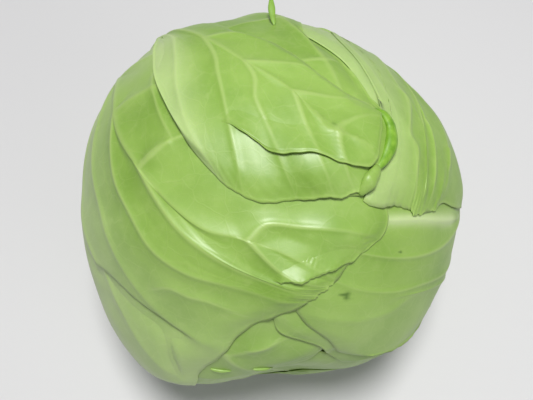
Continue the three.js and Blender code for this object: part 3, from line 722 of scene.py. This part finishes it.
def sheet_object(name, plane, place, heights, values):
    """A closed sheet from its grid on a leaf's plane and its outer and inner heights."""
    x, y = place
    d = plane.to_head(x, y)
    verts, faces = closed_sheet(point_at(d, heights[0]), point_at(d, heights[1]))
    uv = np.stack([twice(x), twice(y)], -1) / UV_SIZE
    return make_object(name, verts, faces, uv, {key: twice(v) for key, v in values.items()})


def twice(values):
    """A grid's values for its outer and then its inner points."""
    return np.concatenate([values.ravel()] * 2)


def sampler(x, y, values):
    """Reads a leaf's values anywhere on its plane."""
    own = HeightMap(x, y)
    own.average(x, y, values)
    return own.read


def build_flap(leaf, plane, grid, high, values, flap):
    """The sheet of a torn flap. It rises over the blade from its root to its free edge."""
    rows, cols = FLAP_GRID
    across = np.linspace(0, 1, cols)[None, :]
    line = np.linspace(0, 1, rows)
    root = Curve(flap["root"]).at(line)[:, None, :]
    edge = Curve(flap["edge"]).at(line)[:, None, :]
    ragged = (0.3 * np.sin(27 * line) + 0.15 * np.sin(83 * line + 1)) * smooth(line, 0, 0.1)
    p = root + (edge - root) * across[..., None]
    p = p + unit(edge - root) * (ragged[:, None] * across**6)[..., None]
    x, y = p[..., 0], p[..., 1]
    open_end = smooth(line, 0, 0.12)[:, None] * (1 - 0.35 * smooth(line, 0.85, 1)[:, None])
    lift = flap["rise"] * across**1.5 * open_end * (1 + 0.18 * np.sin(17 * line + 2)[:, None])
    curl = FLAP_CURL * smooth(across, 0.9, 1.0) * open_end
    outer = sampler(*grid, high)(x, y) - FLAP_ROOT_SUNK * (1 - across) + lift - curl
    inner = outer - FLAP_BLADE
    shown = {key: sampler(*grid, v)(x, y) for key, v in values.items()}
    shown["edge"] = (1 - across) * 25 + 0 * x
    return sheet_object(leaf["name"] + "_flap", plane, (x, y), (outer, inner), shown)


def build_roll(leaf, plane, grid, high, roll):
    """A rolled margin: a closed flattened tube along a line over the blade, pointed at both ends."""
    rows, cols = ROLL_GRID
    line = Curve(roll["line"])
    along = np.linspace(0, 1, rows)
    p = line.at(along)
    way = unit(np.gradient(p, axis=0))
    side = np.stack([way[:, 1], -way[:, 0]], -1)
    width = roll["width"] * np.sqrt(np.sin(np.pi * (0.02 + 0.96 * along)))
    width = width * (1 + 0.06 * np.sin(13 * along))
    turn = np.linspace(0, 2 * np.pi, cols, endpoint=False)[None, :]
    fold = 1 + 0.08 * np.sin(2 * turn + 2 * along[:, None])
    across, up = np.cos(turn) * fold * width[:, None], np.sin(turn) * fold * width[:, None]
    x = p[:, :1] + side[:, :1] * across
    y = p[:, 1:] + side[:, 1:] * across
    base = sampler(*grid, high)(p[:, :1] + 0 * across, p[:, 1:] + 0 * across)
    base = base + roll.get("rise", 0) * along[:, None] ** 1.3
    rings = point_at(plane.to_head(x, y), base + ROLL_SEAT * width[:, None] + ROLL_FLATNESS * up)
    tips = p[[0, -1]]
    tip_heights = base[[0, -1], 0] + ROLL_SEAT * width[[0, -1]]
    verts, faces = skin(rings, *point_at(plane.to_head(tips[:, 0], tips[:, 1]), tip_heights))
    uv = np.stack([capped(x), capped(y)], -1) / UV_SIZE
    values = plain_values(len(verts), edge=9, fresh=roll["fresh"])
    return make_object(leaf["name"] + "_" + roll["name"], verts, faces, uv, values)


def plain_values(count, **given):
    """The leaf material's values for a piece, each the same all over and 0 where none is given."""
    names = ("vein", "edge", "stemward", "fresh", "fleck")
    return {name: given.get(name, 0) * np.ones(count) for name in names}


def capped(values):
    """Values for the points of a skin: those of its rings and of the two points that close it."""
    return np.r_[values.ravel(), values.ravel()[0], values.ravel()[-1]]


def skin(rings, start, end):
    """A closed surface of triangles from rings of points and the point that closes it at each end."""
    rows, cols = rings.shape[:2]
    index = np.arange(rows * cols).reshape(rows, cols)
    ahead = np.roll(index, -1, axis=1)
    first, last = np.full(cols, rows * cols), np.full(cols, rows * cols + 1)
    faces = np.concatenate([
        np.stack([index[:-1], ahead[:-1], ahead[1:]], -1).reshape(-1, 3),
        np.stack([index[:-1], ahead[1:], index[1:]], -1).reshape(-1, 3),
        np.stack([ahead[0], index[0], first], -1),
        np.stack([index[-1], ahead[-1], last], -1),
    ])
    verts = np.concatenate([rings.reshape(-1, 3), [start, end]])
    a, b, c = (verts[faces[:, k]] for k in range(3))
    volume = np.einsum("ij,ij->", a, np.cross(b, c))
    return verts, faces if volume > 0 else faces[:, ::-1]


def inner_relief(d):
    """Low steps of the inner head's own leaves, winding round the axis."""
    around = np.arctan2(d @ AXIS_SIDE, d @ AXIS_UP)
    away = np.arccos(np.clip(-(d @ AXIS), -1, 1))
    step = ((around + INNER_TWIST * away) / (2 * np.pi) * INNER_LEAVES) % 1
    return INNER_STEP * (step - 0.5) * np.sin(away) ** 2 - INNER_SUNK, step


def build_inner_head():
    rows, cols = INNER_GRID
    away = np.linspace(0, np.pi, rows)[1:-1, None]
    turn = np.linspace(0, 2 * np.pi, cols, endpoint=False)[None, :]
    d = -np.cos(away)[..., None] * AXIS + np.sin(away)[..., None] * (
        np.cos(turn)[..., None] * AXIS_UP + np.sin(turn)[..., None] * AXIS_SIDE
    )
    relief, step = inner_relief(d)
    ends = point_at(np.stack([-AXIS, AXIS]), np.array([-INNER_SUNK, -INNER_SUNK]))
    verts, faces = skin(point_at(d, relief), *ends)
    uv = np.stack([capped(turn + 0 * away), capped(away + 0 * turn)], -1)
    values = plain_values(len(verts), edge=30, vein=capped(np.abs(step - 0.5)) ** 6 * 20)
    return make_object("inner_head_body", verts, faces, uv, values)


# stump: radius and height along the axis from the inner head's surface
STEM = [(0, -14), (11, -14), (13.4, -4), (13.8, 3), (12.6, 7), (12.9, 11), (12.1, 12), (0, 11.4)]


def build_stem():
    rows, cols = STEM_GRID
    share = np.linspace(0, 1, rows)[1:-1]
    r, h = Curve(STEM).at(share).T
    turn = np.linspace(0, 2 * np.pi, cols, endpoint=False)[None, :]
    side = np.cross(AXIS_UP, AXIS)
    bark = smooth(share, 0.25, 0.35) * (1 - smooth(share, 0.72, 0.8))
    radius = r[:, None] * (1 + 0.02 * np.sin(5 * turn + 1)) + 0.25 * bark[:, None] * np.sin(23 * turn)
    radius = np.minimum(radius, r[:, None] * 1.02 + 0.2)
    base = HEAD_RADIUS * (1 - FLATTENING)
    middle = np.array([MIDDLE[0], MIDDLE[1], HEAD_HEIGHT])
    rings = radius[..., None] * (np.cos(turn)[..., None] * AXIS_UP + np.sin(turn)[..., None] * side)
    rings = rings - (base + h)[:, None, None] * AXIS + middle
    ends = [middle - (base + STEM[k][1]) * AXIS for k in (0, -1)]
    verts, faces = skin(rings * MM, ends[0] * MM, ends[1] * MM)
    uv = np.stack([capped(radius * np.cos(turn)), capped(radius * np.sin(turn))], -1) / UV_SIZE
    cut = capped(smooth(share, 0.78, 0.82)[:, None] + 0 * turn)
    return make_object("stem_body", verts, faces, uv, {"cut": cut})


class Shader:
    """A material's node tree with short ways to add nodes."""

    def __init__(self, name):
        self.material = bpy.data.materials.new(name)
        self.material.use_nodes = True
        self.tree = self.material.node_tree
        self.tree.nodes.clear()
        self.out = self.tree.nodes.new("ShaderNodeOutputMaterial")
        self.principled = self.tree.nodes.new("ShaderNodeBsdfPrincipled")
        self.tree.links.new(self.principled.outputs[0], self.out.inputs["Surface"])

    def node(self, kind, inputs=None, **settings):
        made = self.tree.nodes.new(kind)
        for key, value in settings.items():
            setattr(made, key, value)
        for key, value in (inputs or {}).items():
            self.put(made.inputs[key], value)
        return made

    def put(self, socket, value):
        if isinstance(value, Signal):
            self.tree.links.new(value.socket, socket)
        else:
            socket.default_value = value

    def signal(self, socket):
        return Signal(self, socket)

    def attribute(self, name):
        return self.signal(self.node("ShaderNodeAttribute", attribute_name=name).outputs["Fac"])

    def noise(self, vector, scale, detail=3.0, rough=0.5):
        n = self.node(
            "ShaderNodeTexNoise", {"Vector": vector, "Scale": scale, "Detail": detail, "Roughness": rough}
        )
        return self.signal(n.outputs["Fac"])

    def mix(self, share, a, b):
        n = self.node("ShaderNodeMix", data_type="RGBA")
        self.put(n.inputs[0], share)
        self.put(n.inputs[6], a)
        self.put(n.inputs[7], b)
        return self.signal(n.outputs[2])

    def between(self, value, low, high):
        n = self.node(
            "ShaderNodeMapRange", {"Value": value, "From Min": low, "From Max": high},
            interpolation_type="SMOOTHSTEP",
        )
        return self.signal(n.outputs[0])


class Signal:
    """A shader value that reads like a number."""

    def __init__(self, shader, socket):
        self.shader, self.socket = shader, socket

    def math(self, operation, *others):
        n = self.shader.node("ShaderNodeMath", operation=operation)
        for k, value in enumerate((self, *others)):
            self.shader.put(n.inputs[k], value)
        return self.shader.signal(n.outputs[0])

    def __add__(self, other):
        return self.math("ADD", other)

    def __sub__(self, other):
        return self.math("SUBTRACT", other)

    def __mul__(self, other):
        return self.math("MULTIPLY", other)

    __radd__, __rmul__ = __add__, __mul__

    def __rsub__(self, other):
        return (self * -1.0) + other

    def most(self, other):
        return self.math("MAXIMUM", other)


def rgb(*screen):
    """A colour as seen on a screen, 0 to 255, as linear values."""
    return (*(((c / 255) / 12.92 if c <= 10 else (((c / 255) + 0.055) / 1.055) ** 2.4) for c in screen), 1.0)


STEMWARD_COLOUR = rgb(214, 228, 176)
EDGE_COLOUR = rgb(176, 204, 112)
FRESH_COLOURS = (rgb(96, 142, 22), rgb(126, 168, 50))
FLECK_COLOUR = rgb(58, 92, 14)


def leaf_material(name, tissue, deep, rib, strength):
    """Waxy leaf tissue in two greens, with paler ribs, a net of small veins and a low bump."""
    m = Shader(name)
    coords = m.node("ShaderNodeTexCoord")
    uv = m.signal(coords.outputs["UV"])
    where = m.signal(coords.outputs["Object"])
    vein = m.attribute("vein")
    edge = m.attribute("edge")
    stemward = m.attribute("stemward")
    fresh = m.attribute("fresh")
    blotch = m.noise(where, 26.0, 3.0, 0.55)
    fine = m.noise(where, 240.0, 4.0, 0.6)
    # the net of small veins
    warp = m.node("ShaderNodeTexNoise", {"Vector": uv, "Scale": 9.0, "Detail": 2.0})
    bent = m.node("ShaderNodeVectorMath", {0: m.signal(warp.outputs["Color"])}, operation="SCALE")
    bent.inputs["Scale"].default_value = 0.06
    moved = m.node("ShaderNodeVectorMath", {0: uv, 1: m.signal(bent.outputs[0])}, operation="ADD")
    nets = []
    for scale, width in ((7.5, 0.035), (22.0, 0.06)):
        v = m.node(
            "ShaderNodeTexVoronoi", {"Vector": m.signal(moved.outputs[0]), "Scale": scale},
            feature="DISTANCE_TO_EDGE",
        )
        nets.append(1.0 - m.between(m.signal(v.outputs["Distance"]), 0.0, width))
    net = (nets[0] * 0.3).most(nets[1] * 0.12)
    body = m.mix(m.between(blotch, 0.35, 0.68) * 0.75, tissue, deep)
    body = m.mix(m.between(fine, 0.45, 0.75) * 0.18, body, rib)
    pale = m.between(vein, 0.15, 0.9) * 0.7
    colour = m.mix(pale.most(net * 0.5), body, rib)
    colour = m.mix(stemward * 0.6, colour, STEMWARD_COLOUR)
    colour = m.mix((1.0 - m.between(edge, 0.0, 2.0)) * 0.3, colour, EDGE_COLOUR)
    colour = m.mix(fresh, colour, m.mix(m.between(fine, 0.3, 0.7), *FRESH_COLOURS))
    colour = m.mix(m.attribute("fleck") * 0.8, colour, FLECK_COLOUR)
    m.put(m.principled.inputs["Base Color"], colour)
    m.put(m.principled.inputs["Roughness"], 0.4 + 0.16 * blotch - 0.06 * pale)
    bump_node = m.node("ShaderNodeBump", {"Height": net * 0.4 + fine * 0.22 + blotch * 0.8, "Strength": 0.3})
    bump_node.inputs["Distance"].default_value = 0.0006 * strength
    m.put(m.principled.inputs["Normal"], m.signal(bump_node.outputs[0]))
    m.principled.inputs["Subsurface Weight"].default_value = 0.12
    m.principled.inputs["Subsurface Radius"].default_value = (0.004, 0.006, 0.0015)
    m.principled.inputs["Coat Weight"].default_value = 0.12
    m.principled.inputs["Coat Roughness"].default_value = 0.22
    return m.material


def stem_material():
    """Pale bark round the stump and a browned cut face."""
    m = Shader("cut_stem")
    coords = m.node("ShaderNodeTexCoord")
    uv = m.signal(coords.outputs["UV"])
    cut = m.attribute("cut")
    n = m.noise(uv, 60.0, 4.0, 0.6)
    bark = m.mix(n, rgb(196, 212, 150), rgb(222, 228, 186))
    face = m.mix(m.between(n, 0.4, 0.7), rgb(226, 222, 186), rgb(186, 160, 108))
    m.put(m.principled.inputs["Base Color"], m.mix(cut, bark, face))
    m.principled.inputs["Roughness"].default_value = 0.65
    bump_node = m.node("ShaderNodeBump", {"Height": n, "Strength": 0.5})
    bump_node.inputs["Distance"].default_value = 0.0008
    m.put(m.principled.inputs["Normal"], m.signal(bump_node.outputs[0]))
    return m.material


OUTER = leaf_material("outer_leaf_tissue", rgb(136, 168, 76), rgb(112, 148, 50), rgb(158, 182, 104), 1.0)
INNER = leaf_material("inner_leaf_tissue", rgb(142, 172, 88), rgb(124, 158, 68), rgb(166, 188, 118), 0.8)
MATERIALS = {
    "outer_leaf_tissue": OUTER,
    "inner_leaf_tissue": INNER,
    "cut_stem": stem_material(),
}
SLOTS = {n["node"]: n["material_slot"] for n in frame["record"]["subparts"]}


def place(obj, node):
    """Gives a piece its material and its place in the part."""
    obj.data.materials.append(MATERIALS[SLOTS[node]])
    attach(obj, "root")
    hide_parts(node)


place(build_inner_head(), "inner_head")
place(build_stem(), "stem")
stack = []
for leaf in LEAVES:
    for piece in build_leaf(leaf, stack):
        place(piece, leaf["name"])

# floor and light, in metres
FLOOR_SIZE = 6
WORLD_COLOUR = (0.93, 0.96, 1.0, 1)
WORLD_STRENGTH = 0.28
LIGHT_TARGET = (0, 0, 0.09)
LIGHTS = [
    dict(name="key", position=(0.02, -0.02, 1.3), size=0.35, power=16),
    dict(name="fill", position=(0.9, -0.9, 0.9), size=1.0, power=3),
]
bpy.ops.mesh.primitive_plane_add(size=FLOOR_SIZE, location=(0, 0, 0))
floor = bpy.context.object
floor.name = "floor"
ground = Shader("floor")
ground.principled.inputs["Base Color"].default_value = rgb(205, 204, 204)
ground.principled.inputs["Roughness"].default_value = 0.7
floor.data.materials.append(ground.material)

world = bpy.data.worlds.new("studio")
bpy.context.scene.world = world
world.use_nodes = True
world.node_tree.nodes["Background"].inputs[0].default_value = WORLD_COLOUR
world.node_tree.nodes["Background"].inputs[1].default_value = WORLD_STRENGTH


def area_light(name, position, size, power):
    data = bpy.data.lights.new(name, "AREA")
    data.shape = "DISK"
    data.size = size
    data.energy = power
    lamp = bpy.data.objects.new(name, data)
    bpy.context.scene.collection.objects.link(lamp)
    lamp.location = position
    lamp.rotation_euler = (Vector(LIGHT_TARGET) - Vector(position)).to_track_quat("-Z", "Y").to_euler()


for light in LIGHTS:
    area_light(**light)

# camera: from above and in front, aimed at the head's middle
CAMERA_DISTANCE = 0.352
CAMERA_ELEVATION = 66.0
LENS = 43.456  # a view 45 degrees wide
SENSOR = 36
camera_data = bpy.data.cameras.new("camera")
camera = bpy.data.objects.new("camera", camera_data)
bpy.context.scene.collection.objects.link(camera)
e = math.radians(CAMERA_ELEVATION)
head = np.array([MIDDLE[0], MIDDLE[1], HEAD_HEIGHT]) * MM
back = np.array([0, -math.cos(e), math.sin(e)])
camera.location = head + back * CAMERA_DISTANCE
camera.rotation_euler = (math.pi / 2 - e, 0, 0)
camera_data.lens = LENS
camera_data.sensor_width = SENSOR
camera_data.clip_start = 0.01
bpy.context.scene.camera = camera
bpy.context.scene.view_settings.view_transform = "Standard"
